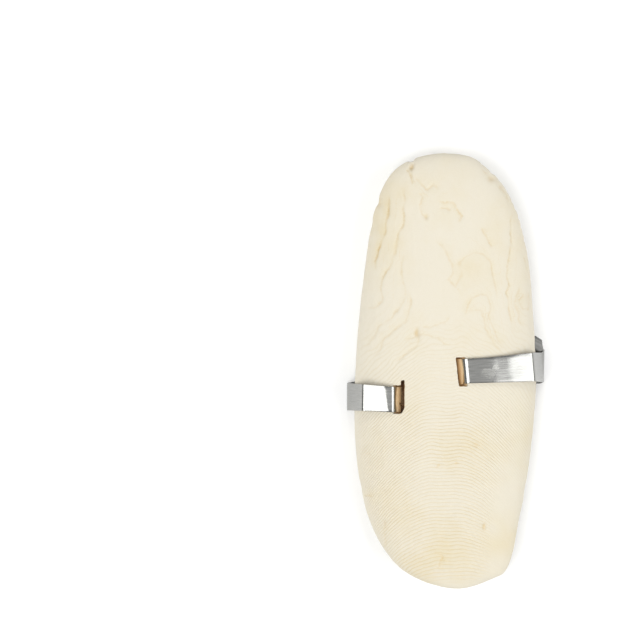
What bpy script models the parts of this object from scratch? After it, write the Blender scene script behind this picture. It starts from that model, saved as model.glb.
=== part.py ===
# A cuttlebone in its bent sheet-metal cage holder, lying on its hard back.
#
# X runs across the bone, +Y to its broad front end and +Z up, out of the soft
# chalky face that a bird pecks. Sizes are in millimetres until the last step.

import math

import bmesh
import bpy
from mathutils import Vector

MM = 0.001

# Bone: driving dimensions
HALF_LENGTH = 70.0
RIM_HEIGHT = 4.65        # the widest line of the bone, above the surface it lies on
RIM_ARCH = 3.2           # how much higher the two tips stand than the middle
CHALK_ROUNDNESS = 2.2    # superellipse power across the chalky face
SHELL_ROUNDNESS = 2.0    # the same across the hard back

# Each row is a latitude from the front tip (0) to the tail tip (180 degrees), then the
# reach to the left and to the right, the rise of the chalky face above the rim and
# the drop of the hard back below it.
SECTIONS = (
    (0, -1.0, -1.0, 0.0, 0.0),
    (10, -8.7, 7.1, 2.1, 0.9),
    (20, -15.4, 12.0, 4.0, 1.7),
    (30, -19.6, 17.2, 5.7, 2.2),
    (45, -23.5, 22.8, 7.8, 2.8),
    (60, -25.8, 26.1, 9.4, 3.3),
    (75, -27.9, 27.6, 10.6, 3.7),
    (90, -29.3, 28.7, 11.0, 3.8),
    (105, -29.6, 27.7, 10.4, 3.7),
    (120, -28.1, 25.6, 8.7, 3.3),
    (135, -24.4, 22.8, 6.6, 2.8),
    (150, -17.8, 20.4, 4.6, 2.1),
    (158, -12.9, 18.0, 3.7, 1.7),
    (165, -7.7, 12.7, 2.7, 1.2),
    (172, -2.1, 8.0, 1.7, 0.7),
    (180, 3.0, 3.0, 0.0, 0.0),
)

# Growth ridges of the chalky face: arches that run down along both flanks, each a long
# gentle tread that ends in a short step towards the tail
RIDGES_START = 8.0       # y of the first ridge on the centre line
RIDGES_END = -64.0
RIDGE_SPACING = 1.75
RIDGE_DEPTH = 0.34
TREAD_SHARE = 0.7        # of the spacing between two steps
ARCH_TURN = 0.34         # how far a ridge runs down at the rim, in radians of latitude
ARCH_FLAT_SHARE = 0.2    # the share of the half width before a ridge turns down
MIDDLE_DIP = 0.016       # how far a ridge sags where it crosses the furrow, in radians
FRONT_RINGS = 22
TAIL_RINGS = 5
CHALK_COLUMNS = 24
SHELL_COLUMNS = 12

# Shallow furrow along the middle of the ridged half
FURROW_X = -1.6
FURROW_REACH = 4.5
FURROW_DEPTH = 0.5

# Worn ledges beside the smooth front half, as shares of the half width
LEDGE_DROP = 0.8
LEFT_LEDGES = (0.58, 0.8)
RIGHT_LEDGES = (0.76,)

# Chips broken out of the rim: x, y and radius
RIM_CHIPS = ((-11.5, 68.6, 1.3), (18.6, 61.7, 1.2), (22.3, 54.4, 1.1), (24.5, 46.6, 0.9))

# Pits in the chalky face: x, y, length and width
PITS = (
    (-10.1, 13.7, 2.8, 1.4),
    (11.3, -49.0, 2.4, 1.4),
    (-0.2, 54.2, 5.0, 1.7),
    (3.4, 51.4, 4.0, 1.5),
)
PIT_DEPTH = 0.6

# Holder: one piece of tinned sheet, flat behind the bone and folded over both edges
SHEET = 0.45
BED = SHEET / 2          # height of the sheet's middle surface where it lies flat
BEND_STEPS = 6

# The holder's corners, from the left claw to the right one, on the sheet's middle surface:
# x and y of the edge nearer the tail, x and y of the edge nearer the front,
# height, and how far the bend reaches to either side of the corner.
HOLDER_CORNERS = (
    (-15.15, -11.5, -15.0, -3.6, 11.75, 0.0),
    (-17.75, -11.1, -17.75, -3.0, 14.85, 0.8),
    (-19.4, -11.0, -20.2, -2.75, 14.8, 0.5),
    (-27.35, -10.7, -27.15, -2.3, 13.7, 0.9),
    (-32.0, -12.7, -31.95, -3.75, BED, 1.1),
    (-27.0, -12.3, -27.0, -2.9, BED, 0.0),
    (24.0, -5.0, 24.0, 11.3, BED, 0.0),
    (29.2, -4.6, 28.9, 11.05, BED, 0.0),
    (30.6, -4.5, 31.2, 9.6, BED, 0.3),
    (31.15, -4.3, 31.55, 6.9, BED, 0.0),
    (31.6, -4.2, 31.75, 6.3, BED, 0.4),
    (31.1, -3.9, 30.6, 5.75, 2.1, 0.0),
    (27.35, -1.95, 26.55, 7.15, 12.7, 0.9),
    (20.2, -1.9, 19.8, 6.65, 14.3, 2.0),
    (13.2, -1.85, 12.8, 6.15, 15.65, 2.0),
    (5.7, -1.9, 5.1, 5.8, 16.25, 1.1),
    (3.75, -2.7, 2.65, 5.4, 13.3, 0.0),
)

# The slots that the claws have cut and broken open: the height of the floor and of the
# open top, then the outline's points as x at the top, x at the floor and y
CLAW_SLOTS = (
    ("left_slot", 11.0, 16.6, (
        (-19.95, -15.95, -11.85),
        (-15.6, -14.45, -11.85),
        (-14.0, -13.95, -10.2),
        (-13.9, -13.9, -1.0),
        (-15.4, -14.7, -1.0),
        (-15.5, -14.8, -2.65),
        (-19.95, -15.95, -2.65),
    )),
    ("right_slot", 12.5, 17.4, (
        (7.15, 4.35, -3.1),
        (3.1, 3.05, -3.1),
        (2.0, 1.95, 6.25),
        (6.8, 3.35, 6.25),
    )),
)

BONE_COLOUR = (0.86, 0.80, 0.66, 1.0)
SHEET_COLOUR = (0.72, 0.72, 0.70, 1.0)


def clear_scene():
    for obj in list(bpy.data.objects):
        bpy.data.objects.remove(obj)


def new_collection(name):
    collection = bpy.data.collections.new(name)
    bpy.context.scene.collection.children.link(collection)
    return collection


def new_material(name, colour, roughness, metallic):
    material = bpy.data.materials.new(name)
    material.use_nodes = True
    shader = material.node_tree.nodes["Principled BSDF"]
    shader.inputs["Base Color"].default_value = colour
    shader.inputs["Roughness"].default_value = roughness
    shader.inputs["Metallic"].default_value = metallic
    material.diffuse_color = colour
    return material


def new_object(name, mesh, collection):
    obj = bpy.data.objects.new(name, mesh)
    collection.objects.link(obj)
    return obj


def smooth_step(low, high, value):
    share = min(1.0, max(0.0, (value - low) / (high - low)))
    return share * share * (3 - 2 * share)


def section_at(latitude):
    """Left reach, right reach, chalk rise and shell drop at a latitude in radians."""
    degrees = min(180.0, max(0.0, math.degrees(latitude)))
    last = len(SECTIONS) - 1
    i = max(k for k in range(last) if SECTIONS[k][0] <= degrees)
    before, start, end, after = (SECTIONS[min(last, max(0, k))] for k in (i - 1, i, i + 1, i + 2))
    gap = end[0] - start[0]
    share = (degrees - start[0]) / gap
    values = []
    for column in range(1, 5):
        slope_in = (end[column] - before[column]) / (end[0] - before[0]) * gap
        slope_out = (after[column] - start[column]) / (after[0] - start[0]) * gap
        step = end[column] - start[column]
        cubic = slope_in + slope_out - 2 * step
        square = 3 * step - 2 * slope_in - slope_out
        values.append(start[column] + share * (slope_in + share * (square + share * cubic)))
    return values


def rim_height(y):
    return RIM_HEIGHT + RIM_ARCH * (y / HALF_LENGTH) ** 2


def arched_latitude(latitude, across):
    """Rings run along the growth arches: level in the middle and down towards the rim."""
    flank = max(0.0, abs(across) - ARCH_FLAT_SHARE) / (1 - ARCH_FLAT_SHARE)
    dip = MIDDLE_DIP * math.exp(-((across / 0.16) ** 2))
    return latitude + math.sin(latitude) ** 1.2 * (ARCH_TURN * flank ** 1.25 + dip)


def furrow(x, y):
    along = smooth_step(-66, -50, y) * smooth_step(10, -12, y)
    return FURROW_DEPTH * along * math.exp(-(((x - FURROW_X) / FURROW_REACH) ** 2))


def ledges(across, y):
    steps = RIGHT_LEDGES if across > 0 else LEFT_LEDGES
    along = smooth_step(2, 16, y) * smooth_step(64, 54, y)
    return sum(LEDGE_DROP * along * smooth_step(at - 0.03, at + 0.03, abs(across)) for at in steps)


def bone_point(latitude, turn, groove):
    """A point of the bone's skin. Turn is 0 at the right rim and a half turn at the left."""
    chalk = math.sin(turn) >= 0
    power = 2 / (CHALK_ROUNDNESS if chalk else SHELL_ROUNDNESS)
    across = math.copysign(abs(math.cos(turn)) ** power, math.cos(turn))
    latitude = arched_latitude(latitude, across)
    left, right, rise, drop = section_at(latitude)
    centre, half_width = (left + right) / 2, (right - left) / 2
    x = centre + across * half_width
    y = HALF_LENGTH * math.cos(latitude)
    height = abs(math.sin(turn)) ** power
    if not chalk:
        return Vector((x, y, rim_height(y) - drop * height))
    inside = 1 - abs(across) ** 8
    relief = inside * (furrow(x, y) + ledges(across, y) + groove)
    return Vector((x, y, rim_height(y) + rise * height - min(relief, 0.6 * rise * height)))


def ring_latitudes():
    """(latitude, is a groove) of every ring, from the front tip to the tail tip."""
    first = math.acos(RIDGES_START / HALF_LENGTH)
    last = math.acos(RIDGES_END / HALF_LENGTH)
    rings = [(first * k / FRONT_RINGS, False) for k in range(FRONT_RINGS)]
    ridges = round((RIDGES_START - RIDGES_END) / RIDGE_SPACING)
    for k in range(ridges):
        for share, in_groove in ((0, True), (TREAD_SHARE, False)):
            y = RIDGES_START + (RIDGES_END - RIDGES_START) * (k + share) / ridges
            rings.append((math.acos(y / HALF_LENGTH), in_groove))
    rings.append((last, False))
    rings += [(last + (math.pi - last) * k / TAIL_RINGS, False) for k in range(1, TAIL_RINGS + 1)]
    return rings


def make_bone(collection):
    rings = ring_latitudes()
    columns = CHALK_COLUMNS + SHELL_COLUMNS
    mesh = bpy.data.meshes.new("cuttlebone")
    bm = bmesh.new()
    bmesh.ops.create_uvsphere(bm, u_segments=columns, v_segments=len(rings) - 1, radius=1)
    for vertex in bm.verts:
        ring = round(math.acos(max(-1.0, min(1.0, vertex.co.z))) / math.pi * (len(rings) - 1))
        column = round(math.atan2(vertex.co.y, vertex.co.x) / math.tau * columns) % columns
        if column <= CHALK_COLUMNS:
            turn = math.pi * column / CHALK_COLUMNS
        else:
            turn = math.pi * (1 + (column - CHALK_COLUMNS) / SHELL_COLUMNS)
        latitude, in_groove = rings[ring]
        faded = smooth_step(math.radians(82), math.radians(95), latitude)
        groove = RIDGE_DEPTH * (0.35 + 0.65 * faded) if in_groove else 0.0
        vertex.co = bone_point(latitude, turn, groove) * MM
    bmesh.ops.recalc_face_normals(bm, faces=bm.faces)
    bm.to_mesh(mesh)
    bm.free()
    mesh.shade_smooth()
    bone = new_object("cuttlebone", mesh, collection)
    mesh.materials.append(new_material("chalky_bone", BONE_COLOUR, 0.9, 0.0))
    return bone


def cut(body, cutter):
    cutter.hide_render = True
    cutter.display_type = "WIRE"
    boolean = body.modifiers.new("cut " + cutter.name, "BOOLEAN")
    boolean.operation = "DIFFERENCE"
    boolean.object = cutter


def make_slot_cutter(name, floor, top, outline, collection):
    """Straight walls from a slot's outline at its open top down to the one at its floor."""
    mesh = bpy.data.meshes.new(name)
    bm = bmesh.new()
    upper = [bm.verts.new(Vector((x, y, top)) * MM) for x, _, y in outline]
    lower = [bm.verts.new(Vector((x, y, floor)) * MM) for _, x, y in outline]
    for i in range(len(outline)):
        bm.faces.new((upper[i - 1], upper[i], lower[i], lower[i - 1]))
    bm.faces.new(upper)
    bm.faces.new(lower)
    bmesh.ops.recalc_face_normals(bm, faces=bm.faces)
    bm.to_mesh(mesh)
    bm.free()
    return new_object(name, mesh, collection)


def make_chip_cutter(number, x, y, radius, collection):
    mesh = bpy.data.meshes.new(f"rim_chip_{number}")
    bm = bmesh.new()
    reach = radius * MM
    bmesh.ops.create_cone(bm, cap_ends=True, segments=7, radius1=reach, radius2=reach, depth=9 * MM)
    bm.to_mesh(mesh)
    bm.free()
    cutter = new_object(mesh.name, mesh, collection)
    cutter.location = Vector((x, y, rim_height(y))) * MM
    return cutter


def chalk_height(x, y):
    """Height of the smooth chalky face over a point well inside the rim."""
    left, right, rise, _ = section_at(math.acos(y / HALF_LENGTH))
    across = abs(x - (left + right) / 2) / ((right - left) / 2)
    return rim_height(y) + rise * (1 - across ** CHALK_ROUNDNESS) ** (1 / CHALK_ROUNDNESS)


def make_pit_cutter(number, x, y, length, width, collection):
    mesh = bpy.data.meshes.new(f"pit_{number}")
    bm = bmesh.new()
    bmesh.ops.create_icosphere(bm, subdivisions=2, radius=0.5 * MM)
    for vertex in bm.verts:
        vertex.co.x *= width
        vertex.co.y *= length
        vertex.co.z *= 2 * PIT_DEPTH
    bm.to_mesh(mesh)
    bm.free()
    cutter = new_object(mesh.name, mesh, collection)
    cutter.location = Vector((x, y, chalk_height(x, y) - furrow(x, y))) * MM
    return cutter


def bent_stations():
    """The holder's corners with every bend rounded off by a short curve."""
    corners = [[Vector((a, b, h)), Vector((c, d, h)), reach] for a, b, c, d, h, reach in HOLDER_CORNERS]
    stations = []
    for i, (tail_edge, front_edge, reach) in enumerate(corners):
        if reach == 0:
            stations.append((tail_edge, front_edge))
            continue
        ends = []
        for other in (corners[i - 1], corners[i + 1]):
            span = ((other[0] + other[1]) - (tail_edge + front_edge)).length / 2
            share = min(0.48, reach / span)
            ends.append((tail_edge.lerp(other[0], share), front_edge.lerp(other[1], share)))
        for k in range(BEND_STEPS + 1):
            f = k / BEND_STEPS
            stations.append(tuple(
                (1 - f) ** 2 * ends[0][e] + 2 * f * (1 - f) * corners[i][e] + f * f * ends[1][e]
                for e in (0, 1)
            ))
    return stations


def make_holder(collection):
    stations = bent_stations()
    mesh = bpy.data.meshes.new("holder")
    bm = bmesh.new()
    rows = [[bm.verts.new(edge * MM) for edge in station] for station in stations]
    for a, b in zip(rows, rows[1:]):
        bm.faces.new((a[0], b[0], b[1], a[1]))
    bmesh.ops.recalc_face_normals(bm, faces=bm.faces)
    bm.to_mesh(mesh)
    bm.free()
    holder = new_object("holder", mesh, collection)
    thickness = holder.modifiers.new("sheet", "SOLIDIFY")
    thickness.thickness = SHEET * MM
    thickness.offset = 0
    thickness.use_even_offset = True
    mesh.materials.append(new_material("tinned_sheet", SHEET_COLOUR, 0.25, 1.0))
    return holder


def stand_on_origin(objects):
    """Moves everything so that the middle of the object's base is the origin."""
    bpy.context.view_layer.update()
    graph = bpy.context.evaluated_depsgraph_get()
    corners = [
        obj.matrix_world @ vertex.co
        for obj in objects
        for vertex in obj.evaluated_get(graph).data.vertices
    ]
    low = [min(c[i] for c in corners) for i in range(3)]
    high = [max(c[i] for c in corners) for i in range(3)]
    shift = Vector((-(low[0] + high[0]) / 2, -(low[1] + high[1]) / 2, -low[2]))
    for obj in bpy.data.objects:
        obj.location += shift


def main():
    clear_scene()
    parts = new_collection("cuttlebone with holder")
    cutters = new_collection("cutters")
    bone = make_bone(parts)
    holder = make_holder(parts)
    for name, floor, top, outline in CLAW_SLOTS:
        cut(bone, make_slot_cutter(name, floor, top, outline, cutters))
    for number, chip in enumerate(RIM_CHIPS, 1):
        cut(bone, make_chip_cutter(number, *chip, cutters))
    for number, pit in enumerate(PITS, 1):
        cut(bone, make_pit_cutter(number, *pit, cutters))
    stand_on_origin((bone, holder))


main()
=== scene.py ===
# Cuttlebone in its bent sheet-metal clip, lying on its hard back, broad smooth end to +Y.
# Lengths are in millimetres until a mesh is made.
import math

import bmesh
import bpy
import numpy as np
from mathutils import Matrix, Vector


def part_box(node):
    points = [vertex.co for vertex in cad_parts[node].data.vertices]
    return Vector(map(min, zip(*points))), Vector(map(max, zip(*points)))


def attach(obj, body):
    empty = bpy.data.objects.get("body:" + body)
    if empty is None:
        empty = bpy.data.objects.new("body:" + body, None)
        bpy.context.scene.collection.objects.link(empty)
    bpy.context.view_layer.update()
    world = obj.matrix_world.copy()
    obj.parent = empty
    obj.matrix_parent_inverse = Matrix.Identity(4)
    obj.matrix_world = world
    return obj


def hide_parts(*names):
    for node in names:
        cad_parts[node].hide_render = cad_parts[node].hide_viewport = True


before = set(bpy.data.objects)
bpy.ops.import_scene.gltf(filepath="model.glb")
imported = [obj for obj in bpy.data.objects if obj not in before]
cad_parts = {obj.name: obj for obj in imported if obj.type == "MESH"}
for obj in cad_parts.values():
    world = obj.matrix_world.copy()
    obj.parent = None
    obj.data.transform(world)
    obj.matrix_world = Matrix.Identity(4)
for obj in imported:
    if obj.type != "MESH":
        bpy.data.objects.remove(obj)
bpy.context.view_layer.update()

mm = 0.001
looks = bpy.data.collections.new("cuttlebone looks")
bpy.context.scene.collection.children.link(looks)


def ease(low, high, value):
    share = np.clip((value - low) / (high - low), 0, 1)
    return share * share * (3 - 2 * share)


# Smooth uneven waves between about -1 and 1, the same for the same seed
def ripple(x, y, wavelength, seed, count=9):
    chance = np.random.default_rng(seed)
    total = np.zeros_like(x)
    for k in range(count):
        heading = chance.uniform(0, math.tau)
        length = wavelength * chance.uniform(0.6, 1.7)
        phase = (x * math.cos(heading) + y * math.sin(heading)) / length * math.tau
        total += np.sin(phase + chance.uniform(0, math.tau) + 1.3 * np.sin(phase * 0.37))
    return total / math.sqrt(count) / 1.3


def newPiece(name, mesh):
    piece = bpy.data.objects.new(name, mesh)
    looks.objects.link(piece)
    return piece


# A piece with modifiers becomes a plain mesh
def bakeModifiers(piece):
    graph = bpy.context.evaluated_depsgraph_get()
    evaluated = piece.evaluated_get(graph)
    finished = bpy.data.meshes.new_from_object(evaluated, preserve_all_data_layers=True, depsgraph=graph)
    piece.modifiers.clear()
    old = piece.data
    piece.data = finished
    bpy.data.meshes.remove(old)
    finished.name = piece.name
    return piece


def addNode(tree, kind, inputs=None, **settings):
    node = tree.nodes.new(kind)
    for name, value in settings.items():
        setattr(node, name, value)
    for name, value in (inputs or {}).items():
        socket = node.inputs[name]
        if isinstance(value, bpy.types.NodeSocket):
            tree.links.new(value, socket)
        else:
            socket.default_value = value
    return node


def calc(tree, operation, *values, clamp=False):
    inputs = dict(enumerate(values))
    return addNode(tree, "ShaderNodeMath", inputs, operation=operation, use_clamp=clamp).outputs[0]


def spread(tree, value, low, high, start=0.0, end=1.0, smooth=True):
    kind = "SMOOTHSTEP" if smooth else "LINEAR"
    inputs = {"Value": value, "From Min": low, "From Max": high, "To Min": start, "To Max": end}
    return addNode(tree, "ShaderNodeMapRange", inputs, interpolation_type=kind).outputs["Result"]


# The bone's form: the same named sizes and sections as its solid
boneForm = {
    "halfLength": 70.0,
    "rimHeight": 4.65,
    "rimArch": 3.2,
    "chalkRoundness": 2.2,
    "backRoundness": 2.0,
    "archTurn": 0.34,
    "archFlatShare": 0.12,
    "archPower": 1.6,
    "middleDip": 0.016,
    "dipWidth": 0.16,
    "halfWidth": 28.5,       # this and the next three only space the columns
    "chalkHeight": 11.0,
    "backHeight": 3.8,
    "rimFineness": 0.12,
    # degrees from the front tip, reach to the left, to the right, chalk's rise, back's drop
    "sections": (
        (0, -1.0, -1.0, 0.0, 0.0),
        (10, -8.7, 7.1, 2.1, 0.9),
        (20, -15.4, 12.0, 4.0, 1.7),
        (30, -19.6, 17.2, 5.7, 2.2),
        (45, -23.5, 22.8, 7.8, 2.8),
        (60, -25.8, 26.1, 9.4, 3.3),
        (75, -27.9, 27.6, 10.6, 3.7),
        (90, -29.3, 28.7, 11.0, 3.8),
        (105, -29.6, 27.7, 10.4, 3.7),
        (120, -28.1, 25.6, 8.7, 3.3),
        (135, -24.4, 22.8, 6.6, 2.8),
        (150, -17.8, 20.4, 4.6, 2.1),
        (158, -12.9, 18.0, 3.7, 1.7),
        (165, -7.7, 12.7, 2.7, 1.2),
        (172, -2.1, 8.0, 1.7, 0.7),
        (180, 3.0, 3.0, 0.0, 0.0),
    ),
    "chalkColumns": 138,
    "backColumns": 40,
    "tipStep": 0.62,         # degrees between rings at the two tips
    "frontStep": 0.46,       # millimetres between rings on the smooth half
    "ridgeStep": 0.25,       # and on the ridged half
    "ridgesFrom": 12.0,
    "ridgesTo": -66.0,
}

# What is cut, worn or coloured on the bone. Paths run in x, y
boneWear = {
    "furrow": {"x": -1.6, "reach": 4.5, "depth": 0.42},
    # path, groove depth, groove width, step down on its left side, strength of its stained line and of the
    # painted shade on its lower side
    "contours": (
        (((-18.0, 57.7), (-18.2, 55.3), (-18.9, 51.5), (-19.3, 47.2), (-20.6, 43.1), (-21.9, 39.6),
          (-22.8, 36.8), (-22.7, 33.6)), 0.22, 0.35, -0.22, 1.0),
        (((-14.9, 60.9), (-13.5, 58.8), (-13.7, 56.3), (-14.0, 53.5), (-13.8, 50.0), (-14.2, 46.6),
          (-16.3, 43.1), (-16.5, 39.6), (-17.7, 36.1), (-19.3, 33.6), (-20.9, 30.0), (-21.3, 26.5),
          (-20.5, 24.0), (-22.4, 22.0), (-26.2, 20.9)), 0.12, 0.5, -0.2, 0.62),
        (((-13.3, 39.6), (-14.5, 36.1), (-14.9, 32.6), (-14.2, 29.5), (-13.2, 27.1), (-14.0, 24.3),
          (-16.0, 21.2), (-17.6, 19.2), (-20.8, 17.1), (-22.4, 14.7), (-23.8, 12.0), (-25.6, 8.6)),
         0.1, 0.5, -0.16, 0.42),
        (((-11.7, 27.6), (-12.0, 22.6), (-13.6, 17.5), (-17.6, 14.3), (-20.2, 12.2), (-21.2, 9.6),
          (-23.6, 5.8)), 0.12, 0.45, -0.14, 0.5),
        (((-10.0, 16.6), (-9.6, 11.5), (-10.4, 9.9), (-13.4, 7.6), (-16.6, 4.4)), 0.14, 0.45, -0.12, 0.42),
        (((-12.8, 64.9), (-11.5, 62.3), (-10.9, 60.3)), 0.32, 0.4, 0.0, 0.7),
        (((-10.2, 63.0), (-8.2, 60.2), (-6.6, 58.7), (-4.4, 60.4), (-3.2, 58.6)), 0.2, 0.6, 0.14, 0.5),
        (((-9.3, 57.9), (-8.1, 56.2), (-9.0, 54.0), (-7.9, 51.4), (-6.7, 49.9), (-6.2, 48.6)),
         0.26, 0.55, 0.1, 0.62),
        (((-3.2, 55.3), (-1.2, 55.2), (1.3, 54.4), (3.2, 52.4), (4.2, 50.2), (3.4, 48.2)),
         0.3, 0.4, -0.25, 0.85),
        (((-3.0, 53.4), (-0.6, 53.0), (1.2, 52.2)), 0.26, 0.8, 0.0, 0.5),
        (((10.2, 47.4), (10.9, 44.8), (12.4, 43.1), (13.8, 40.2)), 0.3, 0.4, 0.12, 0.72),
        (((11.4, 46.8), (12.2, 45.0)), 0.15, 0.4, 0.0, 0.35),
        (((20.2, 52.4), (19.9, 46.6), (19.7, 41.3), (19.0, 37.8), (18.6, 32.6), (18.6, 26.0), (19.3, 20.0),
          (20.4, 12.0)), 0.1, 0.4, 0.26, 0.62),
        (((-4.4, 45.0), (-3.3, 43.1), (-1.3, 40.6), (-0.5, 38.5), (0.8, 36.1), (1.2, 32.6), (0.1, 30.8),
          (1.9, 28.4), (4.3, 32.6), (3.4, 36.0), (5.0, 37.8), (8.5, 39.2), (11.0, 38.4), (12.6, 36.4),
          (13.7, 32.6), (14.6, 29.1), (15.2, 22.5)), 0.1, 0.5, 0.14, 0.42),
        (((4.6, 18.6), (5.4, 20.6), (7.0, 24.4), (9.4, 26.1), (12.0, 25.4), (12.9, 22.8), (12.8, 18.4),
          (15.2, 12.4), (18.6, 7.2)), 0.12, 0.5, 0.14, 0.5),
        (((6.2, 19.4), (7.8, 21.4), (9.7, 21.1), (11.1, 18.6), (11.4, 15.4), (14.2, 10.6), (16.4, 6.8)),
         0.1, 0.5, 0.1, 0.4),
        (((-14.0, 11.4), (-9.4, 13.2), (-6.8, 13.4), (-4.0, 12.4), (-1.4, 10.6), (1.4, 9.6)),
         0.12, 0.5, 0.1, 0.45),
        (((-8.8, 15.6), (-5.0, 16.2), (-1.6, 17.1), (0.6, 19.8)), 0.08, 0.5, 0.06, 0.3),
        (((24.0, 26.4), (22.7, 23.6), (23.6, 20.4), (25.4, 20.6), (26.2, 23.4), (25.6, 26.2)),
         0.1, 0.35, 0.08, 0.5),
        (((22.4, 28.6), (21.2, 23.2), (22.2, 17.6), (24.4, 15.2)), 0.08, 0.4, 0.08, 0.4),
        (((24.0, 38.0), (25.0, 33.0), (26.2, 30.0)), 0.1, 0.5, 0.1, 0.35),
        (((10.6, 65.2), (12.2, 64.0), (14.2, 62.0), (16.6, 59.6), (18.6, 57.2), (20.0, 54.0)),
         0.2, 0.6, -0.2, 0.42),
        (((-27.0, -39.2), (-25.4, -39.0), (-23.6, -39.6)), 0.24, 0.3, 0.0, 0.7),
        (((-1.6, -58.6), (-2.6, -60.6), (-3.6, -63.4)), 0.26, 0.4, 0.0, 0.8),
        (((-4.6, -57.2), (-1.4, -58.4)), 0.12, 0.4, 0.0, 0.4),
        (((-20.6, -46.5), (-20.2, -52.0), (-20.4, -56.6)), 0.16, 0.6, 0.0, 0.35),
    ),
    # x, y, length along y, width, depth, stain
    "pits": (
        (-10.1, 13.9, 2.8, 1.3, 0.6, 1.0),
        (11.3, -49.0, 2.2, 1.2, 0.5, 0.9),
        (-3.6, -28.5, 0.9, 1.4, 0.3, 0.7),
        (2.7, -27.9, 1.2, 0.9, 0.25, 0.6),
        (9.0, -21.8, 1.8, 1.6, 0.2, 0.5),
        (-11.3, 65.6, 2.2, 1.2, 0.8, 1.0),
        (13.9, 61.9, 1.6, 2.2, 0.35, 0.5),
        (17.1, 59.2, 1.4, 1.6, 0.3, 0.5),
        (-6.9, 50.4, 2.0, 1.2, 0.25, 0.6),
        (-21.6, -58.0, 1.0, 1.4, 0.3, 0.5),
    ),
    # x, y, reach and depth of what is broken out of the rim. Below zero it stands proud
    "chips": (
        (-11.5, 68.6, 0.8, 0.95), (18.6, 61.7, 1.1, 0.6), (20.6, 58.6, 0.8, 0.5), (22.3, 54.4, 0.9, 0.75),
        (24.5, 46.6, 0.9, 0.45), (-22.0, 54.6, 1.4, 0.5), (-23.6, 47.6, 1.8, 0.3), (27.4, 8.0, 2.0, 0.22),
        (26.6, -38.0, 2.4, 0.25), (-27.2, -36.0, 2.6, 0.2), (18.0, -65.6, 1.6, -0.18),
        (14.6, 65.0, 0.9, 0.4), (16.4, 63.8, 0.7, 0.45), (25.6, 42.2, 0.8, 0.35),
    ),
    # the right rim crumbles more and more between these two y, and fully beyond the second
    "crumbledRim": {"from": 22.0, "to": 50.0, "depth": 0.3, "grain": 2.2},
    # centres and width as shares of the half width, height in millimetres
    "backRibs": {"centres": (-0.34, 0.02, 0.36), "width": 0.1, "height": 0.16},
    # x, y, reach across, reach along, strength of broad warm patches
    "patches": (
        (-18.5, 50.0, 6.0, 13.0, 0.75), (15.5, 44.0, 5.5, 10.0, 0.5), (23.0, 40.0, 4.0, 22.0, 0.45),
        (7.0, 34.0, 5.0, 4.0, 0.35), (16.0, -54.0, 9.0, 9.0, 1.0), (2.0, -58.0, 16.0, 9.0, 0.8),
        (-12.5, -47.0, 6.0, 7.0, 0.6), (23.5, -20.0, 4.0, 12.0, 0.5), (8.0, -21.5, 5.0, 2.5, 0.5),
        (-2.0, 64.0, 12.0, 5.0, 0.3), (-25.5, 40.0, 3.0, 14.0, 0.4), (-4.0, -66.0, 14.0, 4.0, 0.8),
    ),
}


# Left reach, right reach, chalk rise and back drop at latitudes in radians
def sectionAt(latitude):
    table = np.array(boneForm["sections"], dtype=float)
    last = len(table) - 1
    degrees = np.clip(np.degrees(latitude), 0, 180)
    i = np.clip(np.searchsorted(table[:, 0], degrees, side="right") - 1, 0, last - 1)
    before, start, end, after = (table[np.clip(i + k, 0, last)] for k in (-1, 0, 1, 2))
    gap = end[..., 0] - start[..., 0]
    share = (degrees - start[..., 0]) / gap
    values = []
    for column in range(1, 5):
        slopeIn = (end[..., column] - before[..., column]) / (end[..., 0] - before[..., 0]) * gap
        slopeOut = (after[..., column] - start[..., column]) / (after[..., 0] - start[..., 0]) * gap
        step = end[..., column] - start[..., column]
        cubic, square = slopeIn + slopeOut - 2 * step, 3 * step - 2 * slopeIn - slopeOut
        values.append(start[..., column] + share * (slopeIn + share * (square + share * cubic)))
    return values


# Centre-line latitude of every ring, tips left out, closer together where the ridges are
def ringLatitudes():
    half = boneForm["halfLength"]
    tipStep = math.radians(boneForm["tipStep"])
    tip = np.arange(tipStep, math.radians(20), tipStep)
    frontLine = np.arange(half * math.cos(tip[-1]) - 0.3, boneForm["ridgesFrom"], -boneForm["frontStep"])
    ridgeLine = np.arange(boneForm["ridgesFrom"], boneForm["ridgesTo"], -boneForm["ridgeStep"])
    front, ridged = np.arccos(frontLine / half), np.arccos(ridgeLine / half)
    tail = np.arange(ridged[-1] + tipStep, math.pi - 0.6 * tipStep, tipStep)
    return np.concatenate((tip, front, ridged, tail))


# Angles that cut a section into steps of equal length, a little finer at the rim
def evenTurns(roundness, height, first, last, count):
    turn = np.linspace(first, last, 4001)
    across = boneForm["halfWidth"] * np.sign(np.cos(turn)) * np.abs(np.cos(turn)) ** (2 / roundness)
    rise = height * np.abs(np.sin(turn)) ** (2 / roundness)
    run = np.concatenate(((0,), np.cumsum(np.hypot(np.diff(across), np.diff(rise)))))
    run = run / run[-1] + boneForm["rimFineness"] * (turn - first) / (last - first)
    return np.interp(np.linspace(0, run[-1], count, endpoint=False), run, turn)


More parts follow.
